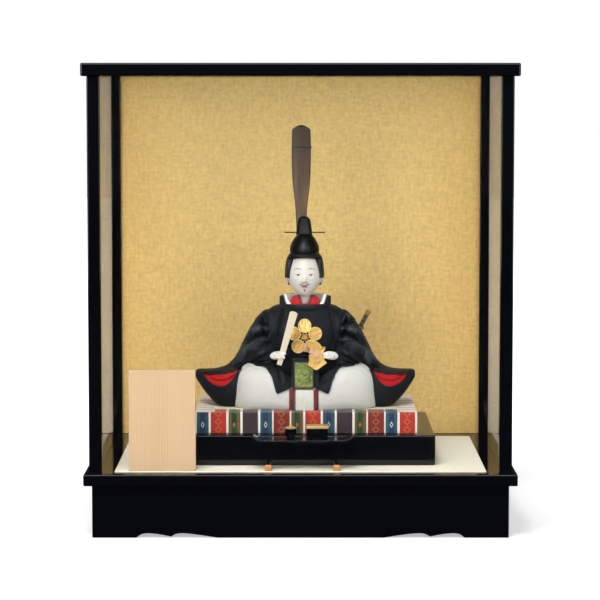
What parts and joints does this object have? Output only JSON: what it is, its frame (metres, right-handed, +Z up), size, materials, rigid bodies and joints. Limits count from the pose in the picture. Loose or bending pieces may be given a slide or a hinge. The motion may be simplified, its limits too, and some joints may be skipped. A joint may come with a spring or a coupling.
{
  "type": "kimekomi doll",
  "caption": "Seated court noble doll in cloth tucked into a moulded body, with cap, sceptre and sword, on a bordered dais in a glass case with desk and bare name board.",
  "frame": {"origin": "under the middle of the case, at the plane it stands on", "axes": "+X to the right of someone who looks at the doll, +Y to the back, +Z up"},
  "size_m": [0.35, 0.25, 0.3825],
  "materials": {
    "lacquer": "black gloss lacquer",
    "glass": "clear",
    "gold_paper": "gold paper on board",
    "mat_cloth": "cream cloth",
    "rush": "woven rush",
    "border_cloth": "striped brocade",
    "pale_wood": "bare satin",
    "brass": "polished",
    "paste": "pressed sawdust paste",
    "black_cloth": "black crepe",
    "red_cloth": "crimson crepe",
    "white_cloth": "white crepe",
    "brocade": "green and gold brocade",
    "wine_cloth": "dark red braid",
    "shell_white": "burnished shell white",
    "black_hair": "combed silk",
    "cap_black": "lacquered cloth",
    "gauze": "stiffened gauze",
    "gilt": "gilt",
    "hilt_wrap": "wrapped"
  },
  "bodies": {
    "case_base": {"base_plate": "lacquer", "apron_front": "lacquer", "apron_back": "lacquer", "apron_left": "lacquer", "apron_right": "lacquer", "floor_mat": "mat_cloth", "plinth": "lacquer", "dais_core": "rush", "dais_border": "border_cloth"},
    "hood": {"top_plate": "lacquer", "post_front_left": "lacquer", "post_front_right": "lacquer", "post_back_left": "lacquer", "post_back_right": "lacquer", "glass_front": "glass", "glass_left": "glass", "glass_right": "glass", "back_board": "gold_paper"},
    "name_board": {"name_plaque": "pale_wood"},
    "desk": {"desk_top": "lacquer", "desk_leg_left": "lacquer", "desk_leg_right": "lacquer", "foot_cap_front_left": "brass", "foot_cap_back_left": "brass", "foot_cap_front_right": "brass", "foot_cap_back_right": "brass"},
    "ink_case": {"ink_box": "lacquer"},
    "ink_lid": {"ink_box_lid": "lacquer"},
    "pot": {"water_pot": "lacquer"},
    "pot_lid": {"water_pot_lid": "lacquer"},
    "doll": {"body_core": "paste", "robe_trunk": "black_cloth", "sleeve_left": "black_cloth", "sleeve_right": "black_cloth", "sleeve_lining_left": "red_cloth", "sleeve_lining_right": "red_cloth", "hakama_left": "white_cloth", "hakama_right": "white_cloth", "hakama_middle": "white_cloth", "sash": "brocade", "robe_flap_left": "black_cloth", "robe_flap_right": "black_cloth", "ribbon_left": "wine_cloth", "ribbon_right": "wine_cloth", "collar_outer": "black_cloth", "collar_white": "white_cloth", "collar_red": "red_cloth", "hand_right": "shell_white", "hand_left": "shell_white", "plum_crest": "gilt", "gilt_leaf": "gilt"},
    "doll_head": {"head": "shell_white", "hair": "black_hair"},
    "court_cap": {"cap_dome": "cap_black", "cap_koji": "cap_black", "cap_hairpin": "cap_black", "cap_tail": "gauze"},
    "sceptre": {"sceptre": "pale_wood"},
    "sword": {"sword_hilt": "hilt_wrap", "sword_scabbard": "lacquer"}
  },
  "joints": [
    {"name": "hood_lift", "type": "slide", "parent": "case_base", "child": "hood", "axis": [0, 0, 1], "range_m": [0, 0.335]},
    {"name": "name_board_lift", "type": "slide", "parent": "case_base", "child": "name_board", "axis": [0, 0, 1], "range_m": [0, 0.03]},
    {"name": "desk_lift", "type": "slide", "parent": "case_base", "child": "desk", "axis": [0, 0, 1], "range_m": [0, 0.03]},
    {"name": "ink_case_lift", "type": "slide", "parent": "desk", "child": "ink_case", "axis": [0, 0, 1], "range_m": [0, 0.02]},
    {"name": "ink_lid_lift", "type": "slide", "parent": "ink_case", "child": "ink_lid", "axis": [0, 0, 1], "range_m": [0, 0.015]},
    {"name": "pot_lift", "type": "slide", "parent": "desk", "child": "pot", "axis": [0, 0, 1], "range_m": [0, 0.02]},
    {"name": "pot_lid_lift", "type": "slide", "parent": "pot", "child": "pot_lid", "axis": [0, 0, 1], "range_m": [0, 0.015]},
    {"name": "doll_lift", "type": "slide", "parent": "case_base", "child": "doll", "axis": [0, 0, 1], "range_m": [0, 0.01]},
    {"name": "head_turn", "type": "hinge", "parent": "doll", "child": "doll_head", "pos_m": [0.004, -0.0099, 0.1725], "axis": [0, 0, 1], "range_deg": [-18, 18]},
    {"name": "cap_lift", "type": "slide", "parent": "doll_head", "child": "court_cap", "axis": [0, 0, 1], "range_m": [0, 0.03]},
    {"name": "sceptre_slide", "type": "slide", "parent": "doll", "child": "sceptre", "axis": [0.2706, 0, 0.9627], "range_m": [0, 0.04]},
    {"name": "sword_draw", "type": "slide", "parent": "doll", "child": "sword", "axis": [0.4278, -0.2917, 0.8555], "range_m": [0, 0.06]}
  ]
}
